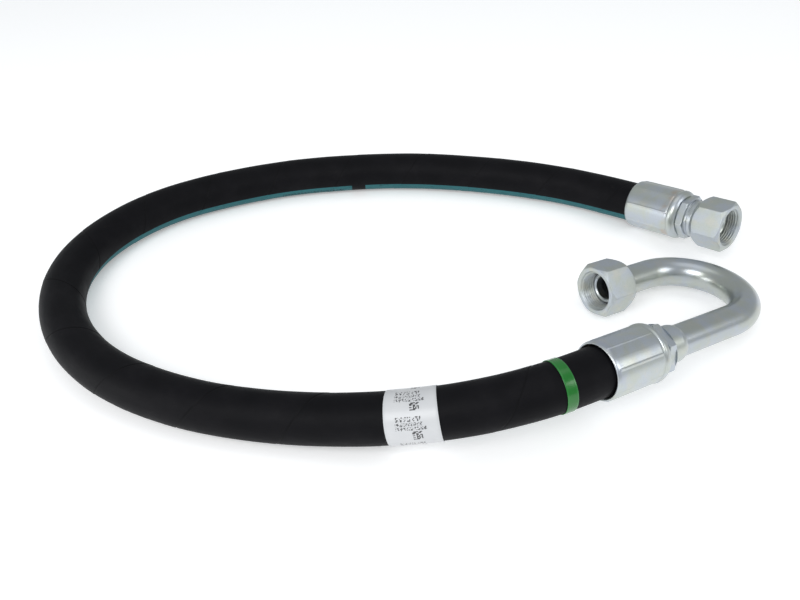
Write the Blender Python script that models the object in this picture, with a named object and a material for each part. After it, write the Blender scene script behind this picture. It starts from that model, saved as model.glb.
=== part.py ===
"""Hydraulic hose assembly lying on a bench: a four-spiral hose with a straight swivel fitting on one end
and a 180 degree bent-tube swivel fitting on the other.

Metres, +Z up. The bench is z = 0 and the origin is under the middle of the two fittings. Each fitting is
modelled about its own axis empty, whose local +Z runs from the ferrule mouth towards the nut.
"""

import math

import bmesh
import bpy
import numpy as np
from mathutils import Matrix, Vector

GAP = 0.0003  # clearance kept between pieces that touch on the real assembly

# Hose, size DN25: radii of its layers and the sides of its plain swept tubes
HOSE_RADIUS = 0.0190
COVER_BORE_RADIUS = 0.01785
WIRE_LAYERS = 4
WIRE_OUTER_RADIUS = 0.01755
WIRE_PITCH = 0.00072
WIRE_WALL = 0.00045
LINER_BORE_RADIUS = 0.0127
HOSE_SIDES = 12
HOSE_INTERVALS = 24

# Where the hose leaves each ferrule, and which way each fitting points (heading from +X)
BENT_MOUTH = Vector((-0.0857, -0.1272, 0.0425))
BENT_HEADING = math.radians(28.6)
BENT_RISE = math.radians(-5.6)
BENT_TILT = math.radians(6)  # the bent tube's far leg drops below its near leg
STRAIGHT_MOUTH = Vector((0.0170, 0.1325, 0.0238))
STRAIGHT_HEADING = math.radians(-50.0)
STRAIGHT_RISE = math.radians(8.6)

# The hose lies on the bench and climbs to each ferrule over these lengths
HOSE_REST_HEIGHT = 0.0194
BENT_CLIMB = 0.250
STRAIGHT_CLIMB = 0.090
HOSE_ROUTE = (
    (-0.1102, -0.1391),
    (-0.1423, -0.1490),
    (-0.1842, -0.1541),
    (-0.2284, -0.1519),
    (-0.2751, -0.1446),
    (-0.3165, -0.1363),
    (-0.3569, -0.1272),
    (-0.4004, -0.1113),
    (-0.4494, -0.0828),
    (-0.4744, -0.0603),
    (-0.4984, -0.0283),
    (-0.5164, 0.0143),
    (-0.5210, 0.0578),
    (-0.5134, 0.0953),
    (-0.4984, 0.1258),
    (-0.4549, 0.1718),
    (-0.3989, 0.2009),
    (-0.3379, 0.2194),
    (-0.2728, 0.2269),
    (-0.2068, 0.2259),
    (-0.1423, 0.2144),
    (-0.0809, 0.1956),
    (-0.0241, 0.1680),
)

# Ferrule, as stations along the fitting's axis from its mouth, and radii
FERRULE_LENGTH = 0.053
FERRULE_RADIUS = 0.0230
CRIMP_RADIUS = 0.0225
CRIMP_START = 0.003
CRIMP_END = 0.0447
CRIMP_RIDGES = 8
CRIMP_RIDGE_HEIGHT = 0.0005
FERRULE_MOUTH_BORE = 0.0197
FERRULE_WIRE_BORE = 0.0180
COVER_STOP = 0.0053  # the cover is skived back to here inside the ferrule
HOSE_STOP = 0.0455
STRAIGHT_RIDGE_TURN = math.radians(20.9)
BENT_RIDGE_TURN = math.radians(12.8)

# Nipple: barbed stem in the hose, neck under the ferrule's folded end, hexagon collar, seat
STEM_START = 0.002
STEM_BORE_RADIUS = 0.0086
STEM_RADIUS = 0.0119
BARB_STEP = 0.0006
BARB_PITCH = 0.0082
BARBS = 5
NECK_RADIUS = 0.0137
COLLAR_FLATS = 0.036
COLLAR_START = FERRULE_LENGTH + GAP
COLLAR_END = 0.0603
COLLAR_RADIUS = 0.0203
COLLAR_CHAMFER = 0.0012
STRAIGHT_COLLAR_TURN = math.radians(29)
BENT_COLLAR_TURN = math.radians(21.7)

# Swivel nut: 1 inch parallel thread bore, 41 mm hexagon
NUT_FLATS = 0.041
NUT_LENGTH = 0.030
NUT_BACK_BORE = 0.0134
NUT_SEAT_START = 0.007
NUT_THREAD_BORE = 0.0152
NUT_MOUTH_RADIUS = 0.0170
NUT_FRONT_FACE_RADIUS = 0.0204
NUT_BACK_FACE_RADIUS = 0.0178
NUT_CORNER_BACK = 0.0062
NUT_CORNER_FRONT = 0.0275
STRAIGHT_NUT_BACK = 0.0672
STRAIGHT_NUT_TURN = math.radians(33.5)
BENT_NUT_TURN = math.radians(7.3)

# Seat nose inside the nut, as stations from the nut's back face
NOSE_SHOULDER_RADIUS = 0.0148
NOSE_SEAT_BACK = 0.00715
NOSE_CONE_START = 0.0153
NOSE_CONE_HALF_ANGLE = math.radians(30)
NOSE_TIP = 0.0195
NOSE_GROOVE_BACK = 0.0155
NOSE_GROOVE_FRONT = 0.0179
NOSE_GROOVE_RADIUS = 0.01195
O_RING_STATION = 0.0167
O_RING_RADIUS = 0.01325
O_RING_WIRE_RADIUS = 0.00095

# Bent tube, 25 x 3 mm, and the socket it is brazed into
TUBE_RADIUS = 0.0125
TUBE_BORE_RADIUS = 0.0095
TUBE_SOCKET_RADIUS = TUBE_RADIUS + GAP
TUBE_START = 0.0638
TUBE_BEND_START = 0.1413
TUBE_BEND_RADIUS = 0.0449
TUBE_BEND_STEPS = 18
TUBE_SIDES = 20
SOCKET_FLOOR = TUBE_START - GAP
BOSS_RADIUS = 0.0147
BOSS_END = 0.0745
SOCKET_END = 0.0785
BENT_NUT_FRONT = 0.0602  # nut's front face, measured back along the far leg from the end of the bend
BENT_NUT_BACK = BENT_NUT_FRONT - NUT_LENGTH
NOSE_SOCKET_FLOOR = 0.0123

# Pieces on the hose, as stations along it from the bent fitting's ferrule
BAND_START = 0.0290
BAND_END = 0.0365
BAND_WALL = 0.0004
LABEL_START = 0.117
LABEL_END = 0.153
LABEL_WALL = 0.0003

TURNED_SEGMENTS = 24
FERRULE_SEGMENTS = CRIMP_RIDGES * 4
RING_SEGMENTS = 24


def clear_scene():
    for item in list(bpy.data.objects):
        bpy.data.objects.remove(item, do_unlink=True)


def make_material(name, colour, roughness, metallic=0.0):
    material = bpy.data.materials.new(name)
    material.use_nodes = True
    shader = material.node_tree.nodes["Principled BSDF"]
    shader.inputs["Base Color"].default_value = (*colour, 1.0)
    shader.inputs["Roughness"].default_value = roughness
    shader.inputs["Metallic"].default_value = metallic
    return material


def make_materials():
    return {
        "rubber": make_material("black_rubber", (0.012, 0.012, 0.015), 0.6),
        "liner": make_material("liner_rubber", (0.01, 0.01, 0.01), 0.45),
        "wire": make_material("brassed_steel_wire", (0.45, 0.30, 0.12), 0.35, 1.0),
        "zinc": make_material("zinc_plate", (0.58, 0.60, 0.62), 0.3, 1.0),
        "satin_zinc": make_material("satin_zinc_plate", (0.62, 0.64, 0.62), 0.45, 1.0),
        "label": make_material("white_label", (0.85, 0.85, 0.83), 0.5),
        "band": make_material("green_tape", (0.01, 0.22, 0.04), 0.2),
        "seal": make_material("seal_rubber", (0.008, 0.008, 0.008), 0.4),
    }


def axis_empty(name, parent, matrix):
    """An empty whose local +Z is a fitting's axis."""
    empty = bpy.data.objects.new(name, None)
    bpy.context.scene.collection.objects.link(empty)
    empty.parent = parent
    empty.matrix_local = matrix
    return empty


def fitting_matrix(mouth, heading, rise, roll):
    """Local +Z along the fitting, away from the hose; at no roll local +X points down."""
    turn = Matrix.Rotation(heading, 4, "Z") @ Matrix.Rotation(math.pi / 2 - rise, 4, "Y")
    return Matrix.Translation(mouth) @ turn @ Matrix.Rotation(roll, 4, "Z")


def add_object(name, mesh, material, parent, station=0.0, turn=0.0):
    piece = bpy.data.objects.new(name, mesh)
    bpy.context.scene.collection.objects.link(piece)
    piece.parent = parent
    piece.location = (0.0, 0.0, station)
    piece.rotation_euler = (0.0, 0.0, turn)
    mesh.materials.clear()
    mesh.materials.append(material)
    return piece


def finish_mesh(name, shape):
    bmesh.ops.recalc_face_normals(shape, faces=shape.faces)
    if shape.calc_volume(signed=True) < 0:
        bmesh.ops.reverse_faces(shape, faces=shape.faces)
    mesh = bpy.data.meshes.new(name)
    shape.to_mesh(mesh)
    shape.free()
    mesh.shade_smooth()
    mesh.set_sharp_from_angle(angle=math.radians(35))
    return mesh


def join_rings(shape, rings, closed):
    """Quads between neighbouring rings of vertices, and between the last and the first where closed."""
    pairs = list(zip(rings, rings[1:]))
    if closed:
        pairs.append((rings[-1], rings[0]))
    for near, far in pairs:
        for i in range(len(near)):
            j = (i + 1) % len(near)
            shape.faces.new((near[i], near[j], far[j], far[i]))


def turned_mesh(name, outline, segments=TURNED_SEGMENTS, ridges=0):
    """A closed outline of (station, radius) or (station, radius, ridge height) turned about local Z."""
    shape = bmesh.new()
    columns = []
    for i in range(segments):
        angle = 2 * math.pi * i / segments
        on_ridge = ridges and i % (segments // ridges) == 0
        column = []
        for station, radius, *height in outline:
            reach = radius + (height[0] if height and on_ridge else 0.0)
            column.append(shape.verts.new((reach * math.cos(angle), reach * math.sin(angle), station)))
        columns.append(column)
    join_rings(shape, columns, closed=True)
    return finish_mesh(name, shape)


def solid_turned_mesh(name, outline, segments=TURNED_SEGMENTS):
    """An open outline from the first end face to the last, turned about local Z and capped at both ends."""
    shape = bmesh.new()
    rings = []
    for station, radius in outline:
        angles = (2 * math.pi * i / segments for i in range(segments))
        rings.append([shape.verts.new((radius * math.cos(a), radius * math.sin(a), station)) for a in angles])
    join_rings(shape, rings, closed=False)
    shape.faces.new(rings[0])
    shape.faces.new(rings[-1])
    return finish_mesh(name, shape)


def hexagon_mesh(name, across_flats, start, end):
    corner = across_flats / 2 / math.cos(math.pi / 6)
    return solid_turned_mesh(name, [(start, corner), (end, corner)], segments=6)


def add_boolean(piece, operation, tool_mesh, turn=0.0):
    """Keeps or removes what a hidden guide covers; the guide shares the piece's axis."""
    tool = bpy.data.objects.new(f"{piece.name}_{operation.lower()}_guide", tool_mesh)
    bpy.context.scene.collection.objects.link(tool)
    tool.parent = piece
    tool.rotation_euler = (0.0, 0.0, turn)
    tool.hide_render = True
    tool.display_type = "WIRE"
    boolean = piece.modifiers.new(operation.title(), "BOOLEAN")
    boolean.operation = operation
    boolean.object = tool
    return boolean


# Hose


def heading_vector(heading, rise):
    return np.array((math.cos(heading) * math.cos(rise), math.sin(heading) * math.cos(rise), math.sin(rise)))


def settle(run, height, slope, length):
    """Height above rest that starts at the given height and slope and fades to nothing over the length."""
    amount = np.clip(run / length, 0.0, 1.0)
    return height * (1 - amount) ** 2 * (1 + 2 * amount) + slope * length * amount * (1 - amount) ** 2


def cubic_through(points, first_direction, last_direction):
    """A smooth curve through the points, sampled finely, that leaves and arrives in the given directions."""
    knots = np.concatenate(([0.0], np.cumsum(np.linalg.norm(np.diff(points, axis=0), axis=1))))
    steps = np.diff(knots)
    count = len(points)
    system = np.zeros((count, count))
    wanted = np.zeros((count, points.shape[1]))
    system[0, 0] = system[-1, -1] = 1.0
    wanted[0] = first_direction
    wanted[-1] = last_direction
    for i in range(1, count - 1):
        system[i, i - 1] = steps[i]
        system[i, i] = 2 * (steps[i - 1] + steps[i])
        system[i, i + 1] = steps[i - 1]
        before = (points[i] - points[i - 1]) * steps[i] / steps[i - 1]
        after = (points[i + 1] - points[i]) * steps[i - 1] / steps[i]
        wanted[i] = 3 * (before + after)
    slopes = np.linalg.solve(system, wanted)
    fine = []
    for i, step in enumerate(steps):
        t = np.linspace(0.0, 1.0, 25)[:-1, None]
        start = (2 * t**3 - 3 * t**2 + 1) * points[i] + (t**3 - 2 * t**2 + t) * step * slopes[i]
        end = (3 * t**2 - 2 * t**3) * points[i + 1] + (t**3 - t**2) * step * slopes[i + 1]
        fine.append(start + end)
    return np.vstack(fine + [points[-1:]])


def along(points):
    return np.concatenate(([0.0], np.cumsum(np.linalg.norm(np.diff(points, axis=0), axis=1))))


class HoseAxis:
    """The hose's centre line by length from the bent ferrule's mouth, straight inside both ferrules.

    Every layer shares its rings, and is straight between them, so that the layers keep their clearances.
    """

    def __init__(self):
        leave = -heading_vector(BENT_HEADING, BENT_RISE)
        arrive = heading_vector(STRAIGHT_HEADING, STRAIGHT_RISE)
        route = np.array((BENT_MOUTH[:2], *HOSE_ROUTE, STRAIGHT_MOUTH[:2]))
        flat = cubic_through(route, leave[:2] / math.cos(BENT_RISE), arrive[:2] / math.cos(STRAIGHT_RISE))
        run = along(flat)
        bent_lift = settle(run, BENT_MOUTH.z - HOSE_REST_HEIGHT, -math.tan(BENT_RISE), BENT_CLIMB)
        straight_height = STRAIGHT_MOUTH.z - HOSE_REST_HEIGHT
        straight_lift = settle(run[-1] - run, straight_height, -math.tan(STRAIGHT_RISE), STRAIGHT_CLIMB)
        points = np.column_stack((flat, HOSE_REST_HEIGHT + bent_lift + straight_lift))
        run = along(points)
        self.length = run[-1]
        inside = HOSE_STOP * leave
        beyond = HOSE_STOP * arrive
        points = np.vstack((points[0] - inside, points, points[-1] + beyond))
        run = np.concatenate(([-HOSE_STOP], run, [self.length + HOSE_STOP]))
        between = np.linspace(0.0, self.length, HOSE_INTERVALS + 1)
        self.stations = np.concatenate(([-HOSE_STOP], between, [self.length + HOSE_STOP]))
        centres = np.column_stack([np.interp(self.stations, run, points[:, k]) for k in range(3)])
        directions = np.gradient(centres, self.stations, axis=0)
        directions[0] = directions[1] = inside
        directions[-1] = directions[-2] = beyond
        sides = np.cross((0.0, 0.0, 1.0), directions)
        sides /= np.linalg.norm(sides, axis=1)[:, None]
        ups = np.cross(directions, sides)
        ups /= np.linalg.norm(ups, axis=1)[:, None]
        self.frames = np.column_stack((centres, sides, ups))

    def frame(self, station):
        """The centre, and the two directions across the hose at a station."""
        values = [np.interp(station, self.stations, self.frames[:, k]) for k in range(9)]
        return np.array(values).reshape(3, 3)

    def rings(self, start, end):
        """The stations of a layer's rings: its two ends and the shared rings between them."""
        shared = [s for s in self.stations if start + GAP < s < end - GAP]
        return [start, *shared, end]


def swept_mesh(name, axis, start, end, bore, radius):
    """A hollow tube about the hose's centre line."""
    shape = bmesh.new()
    walls = {bore: [], radius: []}
    for station in axis.rings(start, end):
        centre, side, up = axis.frame(station)
        for reach, rings in walls.items():
            ring = []
            for i in range(HOSE_SIDES):
                angle = 2 * math.pi * i / HOSE_SIDES
                ring.append(shape.verts.new(centre + reach * (math.cos(angle) * side + math.sin(angle) * up)))
            rings.append(ring)
    join_rings(shape, walls[radius] + walls[bore][::-1], closed=True)
    return finish_mesh(name, shape)


def build_hose(materials):
    axis = HoseAxis()
    first = -HOSE_STOP
    last = axis.length + HOSE_STOP
    cover = swept_mesh("hose_cover", axis, -COVER_STOP, axis.length + COVER_STOP, COVER_BORE_RADIUS, HOSE_RADIUS)
    add_object("hose_cover", cover, materials["rubber"], None)
    for layer in range(WIRE_LAYERS, 0, -1):
        radius = WIRE_OUTER_RADIUS - (WIRE_LAYERS - layer) * WIRE_PITCH
        name = f"wire_spiral_{layer}"
        mesh = swept_mesh(name, axis, first, last, radius - WIRE_WALL, radius)
        add_object(name, mesh, materials["wire"], None)
    liner_radius = WIRE_OUTER_RADIUS - WIRE_LAYERS * WIRE_PITCH
    liner = swept_mesh("hose_liner", axis, first, last, LINER_BORE_RADIUS, liner_radius)
    add_object("hose_liner", liner, materials["liner"], None)
    on_hose = HOSE_RADIUS + GAP
    label = swept_mesh("hose_label", axis, LABEL_START, LABEL_END, on_hose, on_hose + LABEL_WALL)
    add_object("hose_label", label, materials["label"], None)
    band = swept_mesh("colour_band", axis, BAND_START, BAND_END, on_hose, on_hose + BAND_WALL)
    add_object("colour_band", band, materials["band"], None)


# Pieces common to both fittings


def ferrule_mesh():
    neck_bore = NECK_RADIUS + GAP
    ridge = CRIMP_RIDGE_HEIGHT
    outline = (
        (0.0, FERRULE_MOUTH_BORE),
        (0.0, 0.0207),
        (0.0012, 0.0220),
        (CRIMP_START, CRIMP_RADIUS, ridge),
        (CRIMP_END, CRIMP_RADIUS, ridge),
        (CRIMP_END + 0.0008, CRIMP_RADIUS - 0.0002),
        (CRIMP_END + 0.0018, FERRULE_RADIUS),
        (CRIMP_END + 0.0034, FERRULE_RADIUS),
        (CRIMP_END + 0.0058, 0.0221),
        (CRIMP_END + 0.0073, 0.0207),
        (FERRULE_LENGTH, 0.0188),
        (FERRULE_LENGTH, neck_bore),
        (HOSE_STOP + GAP * 2, neck_bore),
        (HOSE_STOP + GAP * 2, FERRULE_WIRE_BORE),
        (COVER_STOP + GAP * 2, FERRULE_WIRE_BORE),
        (COVER_STOP + GAP * 2, FERRULE_MOUTH_BORE),
    )
    return turned_mesh("ferrule", outline, FERRULE_SEGMENTS, CRIMP_RIDGES)


def stem_outline():
    """The barbed stem and the neck, from the stem's end inside the hose to the hexagon collar's near face."""
    points = [(STEM_START, STEM_BORE_RADIUS), (STEM_START, STEM_RADIUS - 2 * BARB_STEP)]
    for barb in range(BARBS):
        top = STEM_START + (barb + 1) * BARB_PITCH
        points.append((top - BARB_PITCH / 4, STEM_RADIUS))
        points.append((top, STEM_RADIUS - BARB_STEP))
    points.append((HOSE_STOP + GAP, STEM_RADIUS - BARB_STEP))
    points.append((HOSE_STOP + GAP, NECK_RADIUS))
    points.append((COLLAR_START, NECK_RADIUS))
    return points


def collar_outline():
    return [
        (COLLAR_START, COLLAR_RADIUS - COLLAR_CHAMFER),
        (COLLAR_START + COLLAR_CHAMFER, COLLAR_RADIUS + COLLAR_CHAMFER / 2),
        (COLLAR_END - COLLAR_CHAMFER, COLLAR_RADIUS + COLLAR_CHAMFER / 2),
        (COLLAR_END, COLLAR_RADIUS - COLLAR_CHAMFER),
    ]


def nose_outline(back):
    """The seat's shoulder, 60 degree cone and O-ring groove, for a nut whose back face is at the given station."""
    slope = math.tan(NOSE_CONE_HALF_ANGLE)
    groove_top = NOSE_SHOULDER_RADIUS - (NOSE_GROOVE_FRONT - NOSE_CONE_START) * slope
    tip_radius = NOSE_SHOULDER_RADIUS - (NOSE_TIP - NOSE_CONE_START) * slope
    seat_clearance = GAP * 1.5
    seat_radius = NUT_BACK_BORE + NOSE_SEAT_BACK - NUT_SEAT_START - seat_clearance
    seat_end = NOSE_SEAT_BACK + NOSE_SHOULDER_RADIUS - seat_radius
    stations = [
        (NOSE_SEAT_BACK, seat_radius),
        (seat_end, NOSE_SHOULDER_RADIUS),
        (NOSE_GROOVE_BACK, NOSE_SHOULDER_RADIUS),
        (NOSE_GROOVE_BACK, NOSE_GROOVE_RADIUS),
        (NOSE_GROOVE_FRONT, NOSE_GROOVE_RADIUS),
        (NOSE_GROOVE_FRONT, groove_top),
        (NOSE_TIP, tip_radius),
    ]
    return [(back + station, radius) for station, radius in stations]


def add_nut(name, parent, station, turn, material):
    """A hexagon, turned to its chamfers outside and bored for the thread, the seat and the nipple's neck."""
    nut = add_object(name, hexagon_mesh(name, NUT_FLATS, 0.0, NUT_LENGTH), material, parent, station, turn)
    corner = NUT_FLATS / 2 / math.cos(math.pi / 6) + GAP
    turning = (
        (-GAP, NUT_BACK_FACE_RADIUS - GAP),
        (NUT_CORNER_BACK, corner),
        (NUT_CORNER_FRONT, corner),
        (NUT_LENGTH + GAP, NUT_FRONT_FACE_RADIUS - GAP),
    )
    add_boolean(nut, "INTERSECT", solid_turned_mesh(f"{name}_turning", turning))
    seat_end = NUT_SEAT_START + NUT_THREAD_BORE - NUT_BACK_BORE
    chamfer = NUT_MOUTH_RADIUS - NUT_THREAD_BORE
    bore = (
        (-GAP, NUT_BACK_BORE),
        (NUT_SEAT_START, NUT_BACK_BORE),
        (seat_end, NUT_THREAD_BORE),
        (NUT_LENGTH - chamfer, NUT_THREAD_BORE),
        (NUT_LENGTH + GAP, NUT_MOUTH_RADIUS + GAP),
    )
    add_boolean(nut, "DIFFERENCE", solid_turned_mesh(f"{name}_bore", bore))
    return nut


def o_ring_mesh():
    steps = 8
    outline = []
    for i in range(steps):
        angle = 2 * math.pi * i / steps
        radius = O_RING_RADIUS + O_RING_WIRE_RADIUS * math.cos(angle)
        outline.append((O_RING_WIRE_RADIUS * math.sin(angle), radius))
    return turned_mesh("o_ring", outline, RING_SEGMENTS)


# Straight fitting


def build_straight_fitting(materials):
    axis = axis_empty("straight_axis", None, fitting_matrix(STRAIGHT_MOUTH, STRAIGHT_HEADING, STRAIGHT_RISE, 0.0))
    add_object("straight_ferrule", ferrule_mesh(), materials["zinc"], axis, turn=STRAIGHT_RIDGE_TURN)
    ring_radius = 0.0165
    ring_end = STRAIGHT_NUT_BACK - GAP * 1.5
    nose = nose_outline(STRAIGHT_NUT_BACK)
    tip = nose[-1][0]
    bore_chamfer = 0.0012
    outline = stem_outline() + collar_outline()
    outline += [(COLLAR_END, ring_radius), (ring_end, ring_radius), (ring_end, nose[0][1])] + nose
    outline += [(tip, STEM_BORE_RADIUS + bore_chamfer), (tip - bore_chamfer, STEM_BORE_RADIUS)]
    nipple = add_object("straight_nipple", turned_mesh("straight_nipple", outline), materials["zinc"], axis)
    flats = hexagon_mesh("straight_collar_flats", COLLAR_FLATS, 0.0, tip + GAP)
    add_boolean(nipple, "INTERSECT", flats, STRAIGHT_COLLAR_TURN)
    o_ring_station = STRAIGHT_NUT_BACK + O_RING_STATION
    add_object("straight_o_ring", o_ring_mesh(), materials["seal"], axis, o_ring_station)
    add_nut("straight_nut", axis, STRAIGHT_NUT_BACK, STRAIGHT_NUT_TURN, materials["satin_zinc"])


# Bent fitting


def tube_path():
    """Points along the bent tube in the bent axis's XZ plane, each with the direction across the tube."""
    path = [(Vector((0.0, 0.0, TUBE_START)), Vector((1.0, 0.0, 0.0)))]
    for i in range(TUBE_BEND_STEPS + 1):
        angle = math.pi * i / TUBE_BEND_STEPS
        across = Vector((math.cos(angle), 0.0, -math.sin(angle)))
        centre = Vector((TUBE_BEND_RADIUS, 0.0, TUBE_BEND_START))
        path.append((centre - TUBE_BEND_RADIUS * across, across))
    far_leg_end = TUBE_BEND_START - BENT_NUT_BACK - NOSE_SOCKET_FLOOR + GAP
    path.append((Vector((2 * TUBE_BEND_RADIUS, 0.0, far_leg_end)), Vector((-1.0, 0.0, 0.0))))
    return path


def bent_tube_mesh():
    shape = bmesh.new()
    walls = {TUBE_BORE_RADIUS: [], TUBE_RADIUS: []}
    for centre, across in tube_path():
        for radius, rings in walls.items():
            ring = []
            for i in range(TUBE_SIDES):
                angle = 2 * math.pi * i / TUBE_SIDES
                offset = radius * (math.cos(angle) * across + math.sin(angle) * Vector((0.0, 1.0, 0.0)))
                ring.append(shape.verts.new(centre + offset))
            rings.append(ring)
    join_rings(shape, walls[TUBE_RADIUS] + walls[TUBE_BORE_RADIUS][::-1], closed=True)
    return finish_mesh("bent_tube", shape)


def build_bent_nipple(axis, materials):
    outline = stem_outline() + collar_outline()
    outline += [
        (COLLAR_END + 0.0022, 0.0162),
        (COLLAR_END + 0.0026, BOSS_RADIUS),
        (BOSS_END, BOSS_RADIUS),
        (SOCKET_END, TUBE_SOCKET_RADIUS + 2 * GAP),
        (SOCKET_END, TUBE_SOCKET_RADIUS),
        (SOCKET_FLOOR, TUBE_SOCKET_RADIUS),
        (SOCKET_FLOOR, STEM_BORE_RADIUS),
    ]
    nipple = add_object("bent_nipple", turned_mesh("bent_nipple", outline), materials["zinc"], axis)
    flats = hexagon_mesh("bent_collar_flats", COLLAR_FLATS, 0.0, SOCKET_END + GAP)
    add_boolean(nipple, "INTERSECT", flats, BENT_COLLAR_TURN)


def build_bent_fitting(materials):
    roll = math.pi / 2 - BENT_TILT
    axis = axis_empty("bent_axis", None, fitting_matrix(BENT_MOUTH, BENT_HEADING, BENT_RISE, roll))
    add_object("bent_ferrule", ferrule_mesh(), materials["zinc"], axis, turn=BENT_RIDGE_TURN)
    build_bent_nipple(axis, materials)
    add_object("bent_tube", bent_tube_mesh(), materials["zinc"], axis)
    bend_end = Vector((2 * TUBE_BEND_RADIUS, 0.0, TUBE_BEND_START))
    nut_axis = axis_empty("bent_nut_axis", axis, Matrix.Translation(bend_end) @ Matrix.Rotation(math.pi, 4, "X"))
    nose = nose_outline(BENT_NUT_BACK)
    floor = BENT_NUT_BACK + NOSE_SOCKET_FLOOR
    tip = nose[-1][0]
    bore_chamfer = 0.0010
    inside = [
        (tip, TUBE_BORE_RADIUS + bore_chamfer),
        (tip - bore_chamfer, TUBE_BORE_RADIUS),
        (floor, TUBE_BORE_RADIUS),
        (floor, TUBE_SOCKET_RADIUS),
        (nose[0][0], TUBE_SOCKET_RADIUS),
    ]
    add_object("bent_cone", turned_mesh("bent_cone", nose + inside), materials["zinc"], nut_axis)
    o_ring_station = BENT_NUT_BACK + O_RING_STATION
    add_object("bent_o_ring", o_ring_mesh(), materials["seal"], nut_axis, o_ring_station)
    add_nut("bent_nut", nut_axis, BENT_NUT_BACK, BENT_NUT_TURN, materials["satin_zinc"])


def main():
    clear_scene()
    materials = make_materials()
    build_hose(materials)
    build_straight_fitting(materials)
    build_bent_fitting(materials)


main()
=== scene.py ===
"""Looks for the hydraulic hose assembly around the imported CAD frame: hose, fittings, materials and studio."""

import math

import bmesh
import bpy
import numpy as np
from mathutils import Matrix, Vector


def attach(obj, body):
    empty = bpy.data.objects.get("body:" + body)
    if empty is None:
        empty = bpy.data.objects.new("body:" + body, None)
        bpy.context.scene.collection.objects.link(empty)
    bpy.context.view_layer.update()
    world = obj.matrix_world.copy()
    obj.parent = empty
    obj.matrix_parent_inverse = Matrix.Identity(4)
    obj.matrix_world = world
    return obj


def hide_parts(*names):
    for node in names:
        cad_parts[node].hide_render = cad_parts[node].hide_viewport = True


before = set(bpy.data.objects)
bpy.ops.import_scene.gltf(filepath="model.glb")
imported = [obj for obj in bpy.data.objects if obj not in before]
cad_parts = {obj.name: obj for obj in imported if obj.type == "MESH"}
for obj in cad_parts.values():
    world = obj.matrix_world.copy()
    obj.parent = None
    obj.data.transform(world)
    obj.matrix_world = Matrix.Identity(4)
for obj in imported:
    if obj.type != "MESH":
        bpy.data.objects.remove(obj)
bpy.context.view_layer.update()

MM = 0.001
MERGE_DISTANCE = 1e-6

# Camera: 35 mm class lens, looking down at the loop from the front
CAMERA_AT = Vector((-0.2223, -0.5180, 0.4144))
CAMERA_PITCH = math.radians(37.59)
CAMERA_ROLL = math.radians(-2.195)
CAMERA_LENS = 34.14

# Fitting axes, as in the CAD
BENT_MOUTH = Vector((-0.0857, -0.1272, 0.0425))
BENT_HEADING = math.radians(28.6)
BENT_RISE = math.radians(-5.6)
BENT_TILT = math.radians(6)
STRAIGHT_MOUTH = Vector((0.0170, 0.1325, 0.0238))
STRAIGHT_HEADING = math.radians(-50.0)
STRAIGHT_RISE = math.radians(8.6)
TUBE_BEND_START = 0.1413
TUBE_BEND_RADIUS = 0.0449
STRAIGHT_NUT_BACK = 0.0672
STRAIGHT_NUT_TURN = math.radians(33.5)
STRAIGHT_COLLAR_TURN = math.radians(29)
BENT_NUT_BACK = 0.0302
BENT_NUT_TURN = math.radians(7.3)
BENT_COLLAR_TURN = math.radians(21.7)

# Hose route: from the bent fitting's ferrule round to the straight fitting's
HOSE_REST_HEIGHT = 0.0194
BENT_CLIMB = 0.250
STRAIGHT_CLIMB = 0.090
HOSE_ROUTE = (
    (-0.1102, -0.1391),
    (-0.1423, -0.1490),
    (-0.1842, -0.1541),
    (-0.2284, -0.1519),
    (-0.2751, -0.1446),
    (-0.3165, -0.1363),
    (-0.3569, -0.1272),
    (-0.4004, -0.1113),
    (-0.4494, -0.0828),
    (-0.4744, -0.0603),
    (-0.4984, -0.0283),
    (-0.5164, 0.0143),
    (-0.5210, 0.0578),
    (-0.5134, 0.0953),
    (-0.4984, 0.1258),
    (-0.4549, 0.1718),
    (-0.3989, 0.2009),
    (-0.3379, 0.2194),
    (-0.2728, 0.2269),
    (-0.2068, 0.2259),
    (-0.1423, 0.2144),
    (-0.0809, 0.1956),
    (-0.0241, 0.1680),
)
HOSE_RADIUS = 0.0190
COVER_INSET = 0.0001  # the cover's mean skin lies this far inside its radius
COVER_INSIDE = 0.0053  # the cover runs on this far inside each ferrule
HOSE_INSIDE = 0.0455
SLEEVE_BORE = HOSE_RADIUS + 0.0002
LABEL_RADIUS = HOSE_RADIUS + 0.00045
BAND_RADIUS = HOSE_RADIUS + 0.0006
WIRE_RADIUS = 0.01755
WIRE_THICKNESS = 0.00045
WIRE_STEP = 0.00072
LINER_BORE = 0.0127
LINER_RADIUS = 0.01467
LABEL_START = 0.117
LABEL_END = 0.153
BAND_START = 0.0290
BAND_END = 0.0365
WRAP_PITCH = 0.075
WRAP_SEAM_STATION = 0.065
WRAP_SEAM_ANGLE = math.radians(50)

ROOT = "hose_assembly"


# Mesh helpers


def linked(name, mesh, matrix=None):
    piece = bpy.data.objects.new(name, mesh)
    bpy.context.scene.collection.objects.link(piece)
    if matrix is not None:
        piece.matrix_world = matrix
    return piece


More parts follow.
